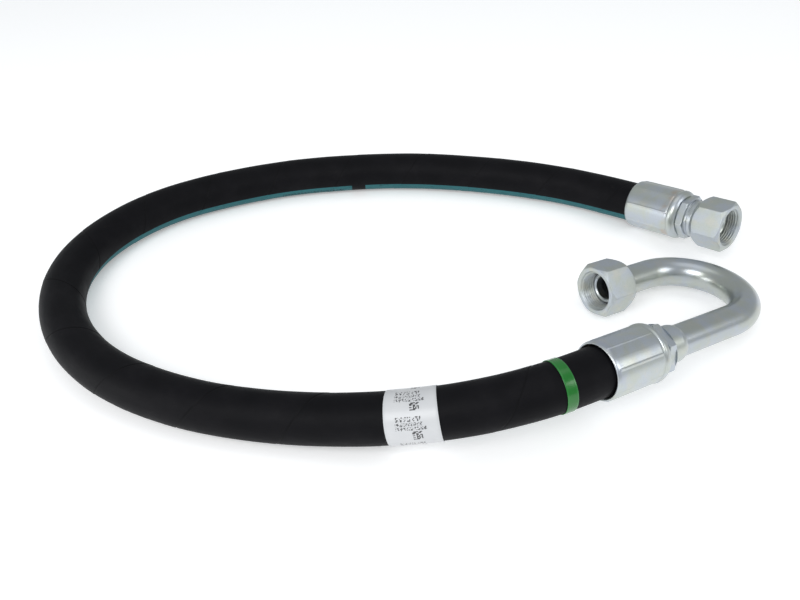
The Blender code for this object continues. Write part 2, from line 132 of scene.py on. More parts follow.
def grid_mesh(name, points, coords=None, sharp=35):
    """A closed skin over a rows x columns grid of points, which wraps both ways.

    coords holds a pair for each grid point and one more column, kept as the UV map "lay".
    """
    rows, columns = points.shape[:2]
    index = np.arange(rows * columns).reshape(rows, columns)
    following = np.roll(index, -1, 0)
    quads = np.stack((index, np.roll(index, -1, 1), np.roll(following, -1, 1), following), -1).reshape(-1, 4)
    mesh = bpy.data.meshes.new(name)
    mesh.from_pydata(points.reshape(-1, 3).tolist(), [], quads.tolist())
    if coords is not None:
        layer = mesh.uv_layers.new(name="lay")
        after = np.roll(coords, -1, 0)
        pairs = np.stack((coords[:, :-1], coords[:, 1:], after[:, 1:], after[:, :-1]), 2)
        layer.data.foreach_set("uv", pairs.ravel())
    shape = bmesh.new()
    shape.from_mesh(mesh)
    bmesh.ops.remove_doubles(shape, verts=shape.verts, dist=MERGE_DISTANCE)
    bmesh.ops.recalc_face_normals(shape, faces=shape.faces)
    if shape.calc_volume(signed=True) < 0:
        bmesh.ops.reverse_faces(shape, faces=shape.faces)
    shape.to_mesh(mesh)
    shape.free()
    mesh.shade_smooth()
    mesh.set_sharp_from_angle(angle=math.radians(sharp))
    return mesh


def eased_corners(outline, radius=0.25 * MM, steps=3):
    """A closed (station, radius) outline with rounded corners and a supporting point beside each round."""
    points = [np.array(p, float) for p in outline]
    count = len(points)
    out = []
    for i in range(count):
        corner = points[i]
        before = points[i - 1] - corner
        after = points[(i + 1) % count] - corner
        reach = [min(radius, 0.4 * np.linalg.norm(d)) for d in (before, after)]
        start = corner + before / np.linalg.norm(before) * reach[0]
        end = corner + after / np.linalg.norm(after) * reach[1]
        out.append(start + (start - corner) * 0.15)
        for k in range(steps + 1):
            t = k / steps
            out.append((1 - t) ** 2 * start + 2 * t * (1 - t) * corner + t * t * end)
        out.append(end + (end - corner) * 0.15)
    return out


def turned(name, outline, segments, corner):
    """A closed outline turned about local Z."""
    angles = np.linspace(0, 2 * math.pi, segments, endpoint=False)
    line = np.array(eased_corners(outline, corner))
    station = np.repeat(line[:, :1], segments, 1)
    radius = np.repeat(line[:, 1:], segments, 1)
    points = np.stack((radius * np.cos(angles), radius * np.sin(angles), station), -1)
    return grid_mesh(name, points)


# Hose


def ease(amount):
    amount = np.clip(amount, 0.0, 1.0)
    return amount * amount * (3 - 2 * amount)


def heading_vector(heading, rise):
    return np.array((math.cos(heading) * math.cos(rise), math.sin(heading) * math.cos(rise), math.sin(rise)))


def settle(run, height, slope, length):
    """Height above rest that starts at the given height and slope and fades to nothing over the length."""
    amount = np.clip(run / length, 0.0, 1.0)
    return height * (1 - amount) ** 2 * (1 + 2 * amount) + slope * length * amount * (1 - amount) ** 2


def cubic_through(points, first_direction, last_direction, fine=40):
    knots = np.concatenate(([0.0], np.cumsum(np.linalg.norm(np.diff(points, axis=0), axis=1))))
    steps = np.diff(knots)
    count = len(points)
    system = np.zeros((count, count))
    wanted = np.zeros((count, points.shape[1]))
    system[0, 0] = system[-1, -1] = 1.0
    wanted[0] = first_direction
    wanted[-1] = last_direction
    for i in range(1, count - 1):
        system[i, i - 1] = steps[i]
        system[i, i] = 2 * (steps[i - 1] + steps[i])
        system[i, i + 1] = steps[i - 1]
        before = (points[i] - points[i - 1]) * steps[i] / steps[i - 1]
        after = (points[i + 1] - points[i]) * steps[i - 1] / steps[i]
        wanted[i] = 3 * (before + after)
    slopes = np.linalg.solve(system, wanted)
    out = []
    for i, step in enumerate(steps):
        t = np.linspace(0.0, 1.0, fine + 1)[:-1, None]
        start = (2 * t**3 - 3 * t**2 + 1) * points[i] + (t**3 - 2 * t**2 + t) * step * slopes[i]
        end = (3 * t**2 - 2 * t**3) * points[i + 1] + (t**3 - t**2) * step * slopes[i + 1]
        out.append(start + end)
    return np.vstack(out + [points[-1:]])


def along(points):
    return np.concatenate(([0.0], np.cumsum(np.linalg.norm(np.diff(points, axis=0), axis=1))))


class HoseAxis:
    """The hose's centre line by length from the bent ferrule's mouth, straight inside both ferrules."""

    def __init__(self):
        leave = -heading_vector(BENT_HEADING, BENT_RISE)
        arrive = heading_vector(STRAIGHT_HEADING, STRAIGHT_RISE)
        route = np.array((BENT_MOUTH[:2], *HOSE_ROUTE, STRAIGHT_MOUTH[:2]))
        flat = cubic_through(route, leave[:2] / math.cos(BENT_RISE), arrive[:2] / math.cos(STRAIGHT_RISE))
        run = along(flat)
        bent_lift = settle(run, BENT_MOUTH.z - HOSE_REST_HEIGHT, -math.tan(BENT_RISE), BENT_CLIMB)
        straight_height = STRAIGHT_MOUTH.z - HOSE_REST_HEIGHT
        straight_lift = settle(run[-1] - run, straight_height, -math.tan(STRAIGHT_RISE), STRAIGHT_CLIMB)
        points = np.column_stack((flat, HOSE_REST_HEIGHT + bent_lift + straight_lift))
        run = along(points)
        self.length = run[-1]
        self.free = points
        extra = np.linspace(HOSE_INSIDE, 0.001, 20)
        before = points[0] - leave * extra[:, None]
        after = points[-1] + arrive * extra[::-1, None]
        points = np.vstack((before, points, after))
        self.run = np.concatenate((-extra, run, self.length + extra[::-1]))
        directions = np.gradient(points, self.run, axis=0)
        sides = np.cross((0.0, 0.0, 1.0), directions)
        sides /= np.linalg.norm(sides, axis=1)[:, None]
        ups = np.cross(directions, sides)
        ups /= np.linalg.norm(ups, axis=1)[:, None]
        self.frames = np.column_stack((points, sides, ups))

    def place(self, station, radius, angle):
        """Points at stations, radii and angles. Angle 0 is outwards from the loop, and 90 degrees is up."""
        flat = station.ravel()
        values = np.column_stack([np.interp(flat, self.run, self.frames[:, k]) for k in range(9)])
        c = (radius * np.cos(angle)).ravel()[:, None]
        s = (radius * np.sin(angle)).ravel()[:, None]
        points = values[:, 0:3] + c * values[:, 3:6] + s * values[:, 6:9]
        return points.reshape(*station.shape, 3)


def wrap_relief(phase, station):
    """Height left by the spiral curing wrap: a groove at each seam, then a step that fades away."""
    mm_from_seam = np.where(phase < 0.5, phase, phase - 1) * WRAP_PITCH / MM
    groove = -0.20 * np.exp(-((mm_from_seam / 0.55) ** 2))
    lip = 0.14 * np.exp(-np.clip(mm_from_seam, 0, None) / 9.0) * (mm_from_seam > 0)
    before = -0.05 * np.exp(np.clip(mm_from_seam, None, 0) / 5.0) * (mm_from_seam <= 0)
    slow = 0.05 * np.sin(station * 61.0) + 0.03 * np.sin(station * 147.0 + 1.0)
    return (groove + lip + before + slow) * MM


def build_cover(axis):
    sides = 80
    # rows within one turn of the wrap, closer together beside its seam
    beside_seam = (0, 0.008, 0.016, 0.028, 0.045, 0.08, 0.14)
    between_seams = (0.22, 0.32, 0.42, 0.52, 0.62, 0.72, 0.82)
    before_seam = (0.9, 0.95, 0.972, 0.984, 0.992)
    turn_phases = np.array(beside_seam + between_seams + before_seam)
    per_turn = len(turn_phases)
    start = -COVER_INSIDE
    end = axis.length + COVER_INSIDE
    first = math.floor(start / WRAP_PITCH) - 2
    turns = np.arange(first, math.ceil(end / WRAP_PITCH) + 3)
    phases = (turns[:, None] + turn_phases[None, :]).ravel()
    angles = np.linspace(0, 2 * math.pi, sides + 1)
    offset = (angles - WRAP_SEAM_ANGLE) / (2 * math.pi)
    station = WRAP_SEAM_STATION + (phases[:, None] - offset[None, :]) * WRAP_PITCH
    inside = (station.min(1) < end) & (station.max(1) > start)
    keep = slice(max(0, np.argmax(inside) - per_turn), len(inside) - np.argmax(inside[::-1]) + per_turn)
    station = station[keep]
    phase = np.repeat((phases[keep] % 1.0)[:, None], sides + 1, 1)
    clipped = np.clip(station, start, end)
    radius = HOSE_RADIUS - COVER_INSET + wrap_relief(phase, clipped)
    angle = np.repeat(angles[None, :], len(station), 0)
    outer = axis.place(clipped, radius, angle)
    coords = np.stack((clipped, angle), -1)
    return outer, coords, clipped


def sheared_tube(name, axis):
    """The cover's skin as a spiral grid, so that its rows run along the wrap's seams."""
    outer, coords, station = build_cover(axis)
    rows, columns = station.shape
    index = np.arange(rows * columns).reshape(rows, columns)
    a, b = index[:-1, :-1], index[:-1, 1:]
    c, d = index[1:, 1:], index[1:, :-1]
    flat = station.ravel()
    quads = np.stack((a, b, c, d), -1).reshape(-1, 4)
    spread = flat[quads].max(1) - flat[quads].min(1)
    quads = quads[spread > 1e-7]
    mesh = bpy.data.meshes.new(name)
    mesh.from_pydata(outer.reshape(-1, 3).tolist(), [], quads.tolist())
    layer = mesh.uv_layers.new(name="lay")
    pairs = coords.reshape(-1, 2)[quads.ravel()]
    layer.data.foreach_set("uv", pairs.ravel())
    shape = bmesh.new()
    shape.from_mesh(mesh)
    bmesh.ops.remove_doubles(shape, verts=shape.verts, dist=2e-6)
    bmesh.ops.dissolve_degenerate(shape, edges=shape.edges, dist=1e-7)
    rims = [e for e in shape.edges if e.is_boundary]
    made = bmesh.ops.extrude_edge_only(shape, edges=rims)
    fresh = [v for v in made["geom"] if isinstance(v, bmesh.types.BMVert)]
    middle = {}
    for end_station in (-COVER_INSIDE, axis.length + COVER_INSIDE):
        zero = np.array([[end_station]])
        middle[end_station] = Vector(axis.place(zero, zero * 0, zero * 0)[0, 0])
    for vert in fresh:
        centre = min(middle.values(), key=lambda m: (m - vert.co).length)
        vert.co = centre + (vert.co - centre) * 0.93
    bmesh.ops.recalc_face_normals(shape, faces=shape.faces)
    shape.to_mesh(mesh)
    shape.free()
    mesh.shade_smooth()
    return mesh


def hose_sleeve(name, axis, start, end, bore, radius, sides=48, spacing=0.004, lip=0.0):
    """A closed thin sleeve about the hose, with rounded ends and UV coordinates of station and angle."""
    count = max(3, int(math.ceil((end - start) / spacing)) + 1)
    inner_stations = np.linspace(start, end, count)
    edge = min(0.00025, (end - start) / 8)
    outer_stations = np.concatenate(([start], [start + edge], inner_stations[1:-1], [end - edge], [end]))
    outer_radius = np.full(len(outer_stations), radius)
    outer_radius[[0, -1]] = radius - 0.3 * (radius - bore)
    outer_radius[[1, -2]] += lip
    line_station = np.concatenate((outer_stations, inner_stations[::-1]))
    line_radius = np.concatenate((outer_radius, np.full(count, bore)))
    angles = np.linspace(0, 2 * math.pi, sides + 1)
    station = np.repeat(line_station[:, None], sides + 1, 1)
    angle = np.repeat(angles[None, :], len(line_station), 0)
    radii = np.repeat(line_radius[:, None], sides + 1, 1)
    points = axis.place(station, radii, angle)[:, :-1]
    return grid_mesh(name, points, np.stack((station, angle), -1))


# Material helpers


class Shader:
    """Short ways to add and link the nodes of one material."""

    def __init__(self, name):
        self.material = bpy.data.materials.new(name)
        self.material.use_nodes = True
        self.tree = self.material.node_tree
        self.main = self.tree.nodes["Principled BSDF"]

    def set(self, **values):
        for key, value in values.items():
            self.put(self.main, key.replace("_", " "), value)
        return self

    def put(self, node, key, value):
        socket = node.inputs[key]
        if isinstance(value, bpy.types.NodeSocket):
            self.tree.links.new(value, socket)
        elif isinstance(value, (tuple, list)) and len(value) == 3 and socket.type == "RGBA":
            socket.default_value = (*value, 1.0)
        else:
            socket.default_value = value

    def node(self, kind, inputs=(), **settings):
        made = self.tree.nodes.new(kind)
        for key, value in settings.items():
            setattr(made, key, value)
        for key, value in dict(inputs).items():
            self.put(made, key, value)
        return made

    def math(self, operation, *values, clamp=False):
        made = self.node("ShaderNodeMath", operation=operation, use_clamp=clamp)
        for i, value in enumerate(values):
            self.put(made, i, value)
        return made.outputs[0]

    def mix(self, amount, first, second):
        made = self.node("ShaderNodeMix", data_type="RGBA")
        self.put(made, "Factor", amount)
        self.put(made, 6, first if isinstance(first, bpy.types.NodeSocket) else (*first, 1.0))
        self.put(made, 7, second if isinstance(second, bpy.types.NodeSocket) else (*second, 1.0))
        return made.outputs[2]

    def span(self, value, low, high, out_low=0.0, out_high=1.0):
        made = self.node("ShaderNodeMapRange", interpolation_type="SMOOTHSTEP")
        names = ("Value", "From Min", "From Max", "To Min", "To Max")
        for key, number in zip(names, (value, low, high, out_low, out_high)):
            self.put(made, key, number)
        return made.outputs[0]

    def noise(self, vector, scale, detail=4.0, roughness=0.55, distortion=0.0, stretch=None):
        if stretch is not None:
            vector = self.node("ShaderNodeMapping", {"Vector": vector, "Scale": stretch}).outputs[0]
        made = self.node("ShaderNodeTexNoise")
        names = ("Vector", "Scale", "Detail", "Roughness", "Distortion")
        for key, number in zip(names, (vector, scale, detail, roughness, distortion)):
            self.put(made, key, number)
        return made.outputs[0]

    def local(self):
        return self.node("ShaderNodeTexCoord").outputs["Object"]

    def lay(self):
        """Station and angle from the UV map "lay"."""
        stored = self.node("ShaderNodeUVMap", uv_map="lay").outputs[0]
        split = self.node("ShaderNodeSeparateXYZ", {"Vector": stored})
        return split.outputs[0], split.outputs[1]

    def xyz(self, x=0.0, y=0.0, z=0.0):
        return self.node("ShaderNodeCombineXYZ", {"X": x, "Y": y, "Z": z}).outputs[0]

    def bump(self, height, strength, distance, normal=None):
        made = self.node("ShaderNodeBump", {"Height": height, "Strength": strength, "Distance": distance})
        if normal is not None:
            self.put(made, "Normal", normal)
        return made.outputs[0]

    def between(self, value, low, high, soft=0.0):
        """1 between low and high, 0 outside."""
        if soft:
            up = self.span(value, low - soft, low + soft)
            down = self.span(value, high - soft, high + soft)
            return self.math("SUBTRACT", up, down)
        above = self.math("GREATER_THAN", value, low)
        below = self.math("LESS_THAN", value, high)
        return self.math("MULTIPLY", above, below)


def around_vector(shader, radius):
    """A seamless position on the hose's skin: station along X, and the angle as a point on a circle in YZ."""
    station, angle = shader.lay()
    y = shader.math("MULTIPLY", shader.math("COSINE", angle), radius)
    z = shader.math("MULTIPLY", shader.math("SINE", angle), radius)
    return station, angle, shader.xyz(station, y, z)


def random_blocks(shader, along_value, across_value, along_cell, across_cell, share):
    """Printed-looking blocks: each cell of a fine lattice is ink or not at random."""
    a = shader.math("FLOOR", shader.math("DIVIDE", along_value, along_cell))
    b = shader.math("FLOOR", shader.math("DIVIDE", across_value, across_cell))
    cell = shader.node("ShaderNodeTexWhiteNoise", {"Vector": shader.xyz(a, b)}, noise_dimensions="2D")
    return shader.math("LESS_THAN", cell.outputs["Value"], share)


# Layline print, along the hose and round it
SPLICE_STATION = 0.886
WORDS_STATION = 0.835
PRINT_PITCH = 0.300
LAYLINE_LOW = math.radians(200)
LAYLINE_HIGH = math.radians(242)


def rubber_material():
    s = Shader("hose_rubber")
    station, angle, skin = around_vector(s, HOSE_RADIUS)
    cloudy = s.noise(skin, 38.0, 5.0, 0.6)
    scuffs = s.noise(skin, 160.0, 6.0, 0.65, stretch=(0.35, 1.0, 1.0))
    scuff_mask = s.span(scuffs, 0.60, 0.78)
    dust = s.span(cloudy, 0.52, 0.80)
    base = s.mix(s.span(cloudy, 0.3, 0.7), (0.0022, 0.0022, 0.0032), (0.0042, 0.0040, 0.0054))
    base = s.mix(s.math("MULTIPLY", scuff_mask, 0.25), base, (0.020, 0.018, 0.016))
    base = s.mix(s.math("MULTIPLY", dust, 0.08), base, (0.024, 0.023, 0.023))
    # the wrap's seam, a touch darker
    turn = s.math("ADD", s.math("DIVIDE", s.math("SUBTRACT", station, WRAP_SEAM_STATION), WRAP_PITCH),
                  s.math("DIVIDE", s.math("SUBTRACT", angle, WRAP_SEAM_ANGLE), 2 * math.pi))
    phase = s.math("FRACT", s.math("ADD", turn, 0.5))
    seam = s.between(phase, 0.5 - 0.012, 0.5 + 0.012, 0.008)
    base = s.mix(s.math("MULTIPLY", seam, 0.55), base, (0.002, 0.002, 0.0025))
    # printed layline on the inner, lower side
    stripe = s.between(angle, LAYLINE_LOW, LAYLINE_HIGH, 0.012)
    worn = s.span(s.noise(skin, 420.0, 5.0, 0.7, stretch=(0.4, 1.0, 1.0)), 0.30, 0.44)
    from_splice = s.math("PINGPONG", s.math("SUBTRACT", station, SPLICE_STATION), PRINT_PITCH)
    gap = s.math("SUBTRACT", 1.0, s.between(from_splice, -1.0, 0.0075))
    ink = s.math("MULTIPLY", stripe, s.math("MULTIPLY", gap, s.math("MULTIPLY_ADD", worn, 0.5, 0.5)))
    across = s.math("MULTIPLY", angle, HOSE_RADIUS)
    marks = random_blocks(s, station, across, 0.0007, 0.0011, 0.46)
    letters = s.between(s.math("FRACT", s.math("DIVIDE", station, 0.0036)), 0.0, 0.72)
    row = s.between(angle, math.radians(214), math.radians(230))
    from_words = s.math("PINGPONG", s.math("SUBTRACT", station, WORDS_STATION), PRINT_PITCH)
    words = s.between(from_words, -1.0, 0.034)
    print_mask = s.math("MULTIPLY", s.math("MULTIPLY", marks, letters), s.math("MULTIPLY", row, words))
    teal = s.mix(cloudy, (0.022, 0.105, 0.120), (0.034, 0.150, 0.165))
    teal = s.mix(s.math("MULTIPLY", print_mask, 0.9), teal, (0.006, 0.012, 0.014))
    base = s.mix(ink, base, teal)
    s.set(Base_Color=base)
    rough = s.math("MULTIPLY_ADD", scuffs, 0.22, 0.46)
    s.put(s.main, "Roughness", s.math("SUBTRACT", rough, s.math("MULTIPLY", ink, 0.06)))
    s.main.inputs["Specular IOR Level"].default_value = 0.10
    # fabric imprint of the curing wrap, set along the spiral
    weft = s.math("SINE", s.math("MULTIPLY", turn, 2 * math.pi * 46))
    slanted = s.math("SUBTRACT", angle, s.math("MULTIPLY", station, 7.0))
    warp = s.math("SINE", s.math("MULTIPLY", slanted, 130.0))
    weave = s.math("MULTIPLY", weft, warp)
    wrinkle = s.noise(skin, 55.0, 3.0, 0.5, stretch=(0.5, 1.6, 1.6))
    normal = s.bump(weave, 0.10, 0.00012)
    normal = s.bump(scuffs, 0.35, 0.00018, normal)
    normal = s.bump(wrinkle, 0.45, 0.0007, normal)
    s.put(s.main, "Normal", normal)
    return s.material


def label_material():
    s = Shader("white_label")
    station, angle, skin = around_vector(s, HOSE_RADIUS)
    across = s.math("MULTIPLY", angle, HOSE_RADIUS + 0.0004)
    repeat = 0.0200
    first_row = math.radians(40.2) * (HOSE_RADIUS + 0.0004)
    # distance downwards from the first row of each repeat
    down = s.math("FLOORED_MODULO", s.math("SUBTRACT", first_row + 0.0016, across), repeat)
    ink = None
    rows = (
        (0.0000, 0.0032, 0.1285, 0.1455, 0.00062, 0.0008, 0.54, 0.0026),
        (0.0039, 0.0064, 0.1275, 0.1455, 0.00050, 0.0006, 0.48, 0.0022),
        (0.0070, 0.0095, 0.1250, 0.1455, 0.00050, 0.0006, 0.48, 0.0022),
    )
    for top, bottom, end, start, cell, cell_across, share, pitch in rows:
        blocks = random_blocks(s, station, down, cell, cell_across, share)
        letters = s.between(s.math("FRACT", s.math("DIVIDE", station, pitch)), 0.0, 0.78)
        area = s.math("MULTIPLY", s.between(down, top, bottom), s.between(station, end, start))
        mask = s.math("MULTIPLY", s.math("MULTIPLY", blocks, letters), area)
        ink = mask if ink is None else s.math("MAXIMUM", ink, mask)
    blocks = random_blocks(s, station, down, 0.0008, 0.0008, 0.52)
    area = s.math("MULTIPLY", s.between(down, 0.0104, 0.0160), s.between(station, 0.1288, 0.1352))
    ink = s.math("MAXIMUM", ink, s.math("MULTIPLY", blocks, area))
    paper = s.mix(s.noise(skin, 60.0, 3.0), (0.52, 0.53, 0.55), (0.59, 0.595, 0.60))
    edge = s.math("SUBTRACT", 1.0, s.between(station, LABEL_START + 0.0015, LABEL_END - 0.0015, 0.0008))
    paper = s.mix(s.math("MULTIPLY", edge, 0.25), paper, (0.42, 0.44, 0.45))
    s.set(Base_Color=s.mix(s.math("MULTIPLY", ink, 0.93), paper, (0.02, 0.02, 0.022)), Roughness=0.34)
    crease = s.noise(skin, 120.0, 3.0, 0.6, stretch=(1.0, 0.4, 0.4))
    s.put(s.main, "Normal", s.bump(crease, 0.35, 0.0003))
    return s.material


def band_material():
    s = Shader("green_tape")
    station, angle, skin = around_vector(s, HOSE_RADIUS)
    shade = s.noise(skin, 90.0, 3.0, 0.5)
    base = s.mix(shade, (0.001, 0.115, 0.006), (0.003, 0.165, 0.014))
    edge = s.math("SUBTRACT", 1.0, s.between(station, BAND_START + 0.0008, BAND_END - 0.0008, 0.0004))
    base = s.mix(s.math("MULTIPLY", edge, 0.4), base, (0.02, 0.20, 0.04))
    s.set(Base_Color=base, Roughness=s.math("MULTIPLY_ADD", shade, 0.10, 0.16))
    s.main.inputs["Coat Weight"].default_value = 0.2
    s.main.inputs["Coat Roughness"].default_value = 0.12
    stretch_lines = s.noise(skin, 260.0, 2.0, 0.5, stretch=(1.0, 0.12, 0.12))
    s.put(s.main, "Normal", s.bump(stretch_lines, 0.3, 0.00025))
    return s.material


def zinc_material(name, rough, warm=0.0, streak=0.0, rings=0.0, shade=1.0, tint_band=None, mottle=1.0):
    """Bright zinc plate with a thin passivation: soft clouds of blue, green and straw, and fine tool marks."""
    s = Shader(name)
    local = s.local()
    split = s.node("ShaderNodeSeparateXYZ", {"Vector": local})
    z = split.outputs[2]
    cloud = s.noise(local, 55.0, 4.0, 0.55, 0.4)
    moved = s.node("ShaderNodeMapping", {"Vector": local, "Location": (0.31, 0.17, 0.05)}).outputs[0]
    cloud_two = s.noise(moved, 90.0, 4.0, 0.6)
    grain = s.noise(local, 900.0, 3.0, 0.6)
    cool = tuple(shade * v for v in (0.500, 0.540, 0.590))
    green = tuple(shade * v for v in (0.500, 0.530, 0.490))
    straw = tuple(shade * v for v in (0.575, 0.560, 0.500))
    base = s.mix(s.span(cloud, 0.35, 0.65), green, cool)
    base = s.mix(s.math("MULTIPLY", s.span(cloud_two, 0.50, 0.72), 0.45 + warm), base, straw)
    if tint_band is not None:
        low, high, colour, amount = tint_band
        band = s.between(z, low, high, 0.0025)
        patchy = s.span(cloud_two, 0.40, 0.62)
        base = s.mix(s.math("MULTIPLY", s.math("MULTIPLY", band, patchy), amount), base, colour)
    specks = s.math("MULTIPLY", s.span(grain, 0.45, 0.75), 0.18 * mottle)
    base = s.mix(specks, base, tuple(0.72 * v for v in green))
    s.set(Base_Color=base, Metallic=1.0)
    value = s.math("MULTIPLY_ADD", cloud, 0.10 * mottle, rough - 0.05)
    value = s.math("MULTIPLY_ADD", grain, 0.10 * mottle, value)
    normal = s.bump(grain, 0.12 * mottle, 0.0001)
    if streak:
        lines = s.noise(local, 1.0, 3.0, 0.7, stretch=(1500.0, 1500.0, 26.0))
        value = s.math("MULTIPLY_ADD", lines, 0.16 * streak, value)
        normal = s.bump(lines, 0.22 * streak, 0.00012, normal)
    if rings:
        turned_marks = s.noise(s.xyz(0.0, 0.0, z), 3200.0, 2.0, 0.6)
        value = s.math("MULTIPLY_ADD", turned_marks, 0.12 * rings, value)
        normal = s.bump(turned_marks, 0.16 * rings, 0.00012, normal)
    s.put(s.main, "Roughness", value)
    s.put(s.main, "Normal", normal)
    return s.material


def wire_material():
    s = Shader("brassed_wire")
    station, angle, skin = around_vector(s, 0.0175)
    lay = s.math("ADD", s.math("MULTIPLY", angle, 60.0), s.math("MULTIPLY", station, 3400.0))
    strands = s.math("SINE", lay)
    base = s.mix(s.noise(skin, 300.0), (0.42, 0.27, 0.10), (0.62, 0.42, 0.18))
    s.set(Base_Color=base, Metallic=1.0, Roughness=s.math("MULTIPLY_ADD", strands, 0.06, 0.34))
    s.put(s.main, "Normal", s.bump(strands, 0.6, 0.0003))
    return s.material


def plain_rubber(name, colour, rough):
    s = Shader(name)
    grain = s.noise(s.local(), 700.0, 4.0, 0.6)
    paler = tuple(1.9 * v for v in colour)
    s.set(Base_Color=s.mix(grain, colour, paler), Roughness=s.math("MULTIPLY_ADD", grain, 0.16, rough - 0.08))
    s.put(s.main, "Normal", s.bump(grain, 0.2, 0.0001))
    return s.material


def floor_material():
    s = Shader("pale_floor")
    soft = s.noise(s.local(), 3.0, 2.0)
    s.set(Base_Color=s.mix(soft, (0.93, 0.932, 0.935), (0.95, 0.95, 0.95)), Roughness=0.6)
    s.main.inputs["Specular IOR Level"].default_value = 0.2
    s.main.inputs["Emission Color"].default_value = (1.0, 1.0, 1.0, 1.0)
    s.main.inputs["Emission Strength"].default_value = 0.28
    return s.material


# Fittings

# Sizes in millimetres
NUT_APOTHEM = 20.5
NUT_CORNER = 23.67
NUT_LENGTH = 30.0
THREAD_PITCH = 2.25
THREAD_MAJOR = 16.45
THREAD_MINOR = 15.2
THREAD_START = 28.75
THREAD_END = 10.2
COLLAR_START = 53.3
COLLAR_END = 60.3
COLLAR_APOTHEM = 18.0
COLLAR_CORNER = 20.78
STEM_RADIUS = 13.7
TUBE_RADIUS = 12.5
TUBE_BORE = 9.5
BARBS = 5
BARB_PITCH = 8.2

FERRULE_TURN = {"straight": math.radians(20.9), "bent": math.radians(12.8)}
RIDGES = 8
O_RING_STATION = 0.0167
O_RING_RADIUS = 0.01325
O_RING_WIRE = 0.001


def in_metres(points):
    return [(station * MM, radius * MM) for station, radius in points]


def ferrule_ridge(turn, seed):
    """Relief of the crimped barrel: narrow ridges between the crimping jaws' lands, each a little different."""
    def relief(station, radius, angles):
        mm = station / MM
        crimped = ease((mm - 1.6) / 1.8) * (1 - ease((mm - 43.9) / 1.0))
        outside = radius > 0.0212
        spacing = 2 * math.pi / RIDGES
        relative = (angles - turn + spacing / 2) % spacing - spacing / 2
        number = np.floor((angles - turn + spacing / 2) / spacing)
        reach = relative * 22.5
        jitter = 0.85 + 0.25 * np.sin(number * 2.3 + seed)
        ridge = 0.55 * jitter * np.exp(-((reach / 0.75) ** 2))
        skirt = 0.10 * np.exp(-((reach / 2.6) ** 2)) - 0.06
        land = 0.03 * np.sin(number * 1.7 + seed) + 0.02 * np.sin(mm * 0.35 + number)
        return np.where(outside, crimped * (ridge + skirt + land) * MM, 0.0)

    return relief


def ferrule_outline():
    """The sleeve's closed section: rolled mouth, crimped barrel, swelling behind it, rounded end and bore."""
    mouth = [(0.55, 20.05), (0.0, 20.9), (0.25, 21.6), (1.1, 22.15)]
    barrel = [(3.0, 22.45), (10.0, 22.45), (20.0, 22.45), (30.0, 22.45), (43.4, 22.45), (44.5, 22.3)]
    swelling = [(45.2, 22.15), (45.9, 22.75), (46.6, 23.0), (47.8, 23.0), (49.0, 22.75), (50.2, 22.25)]
    end = [(51.2, 21.5), (52.0, 20.65), (52.7, 19.6), (53.0, 18.7), (53.0, 14.0)]
    bore = [(46.2, 14.0), (46.2, 18.0), (7.2, 18.0), (6.4, 19.6), (3.0, 19.75)]
    return in_metres(mouth + barrel + swelling + end + bore)


def smooth_outline_mesh(name, outline, segments, ridge):
    """A turned mesh whose long straight runs are split, so that ridges keep their shape along them."""
    line = []
    rounded = eased_corners(outline, 0.22 * MM, 2)
    for i, point in enumerate(rounded):
        line.append(point)
        following = rounded[(i + 1) % len(rounded)]
        gap = np.linalg.norm(following - point)
        pieces = int(gap // (2.5 * MM))
        for k in range(1, pieces + 1):
            line.append(point + (following - point) * k / (pieces + 1))
    line = np.array(line)
    angles = np.linspace(0, 2 * math.pi, segments, endpoint=False)
    station = np.repeat(line[:, :1], segments, 1)
    radius = np.repeat(line[:, 1:], segments, 1)
    radius = radius + ridge(station, radius, angles[None, :])
    points = np.stack((radius * np.cos(angles), radius * np.sin(angles), station), -1)
    return grid_mesh(name, points, sharp=50)


def hex_angles(turn):
    """Column angles, closer together beside the six corners."""
    angles = {round(a, 3) for a in np.arange(0, 360, 2.5)}
    corners = [math.degrees(turn) + 60 * k for k in range(6)]
    angles = {a for a in angles if min(abs((a - c + 180) % 360 - 180) for c in corners) > 1.6}
    for corner in corners:
        for extra in (-1.5, -0.9, -0.5, -0.2, 0, 0.2, 0.5, 0.9, 1.5):
            angles.add(round((corner + extra) % 360, 3))
    return np.radians(sorted(angles))


def hex_radius(angles, turn, apothem, fillet):
    """The radius of a hexagon with rounded corners, a corner lying at the angle turn."""
    from_corner = (angles - turn + math.pi / 6) % (math.pi / 3) - math.pi / 6
    from_flat = math.pi / 6 - np.abs(from_corner)
    flat = apothem / np.cos(from_flat)
    tangent = math.atan((apothem - fillet) * math.tan(math.pi / 6) / apothem)
    centre = (apothem - fillet) / math.cos(math.pi / 6)
    root = np.sqrt(np.clip(fillet**2 - (centre * np.sin(from_corner)) ** 2, 0, None))
    return np.where(from_flat > tangent, centre * np.cos(from_corner) + root, flat)


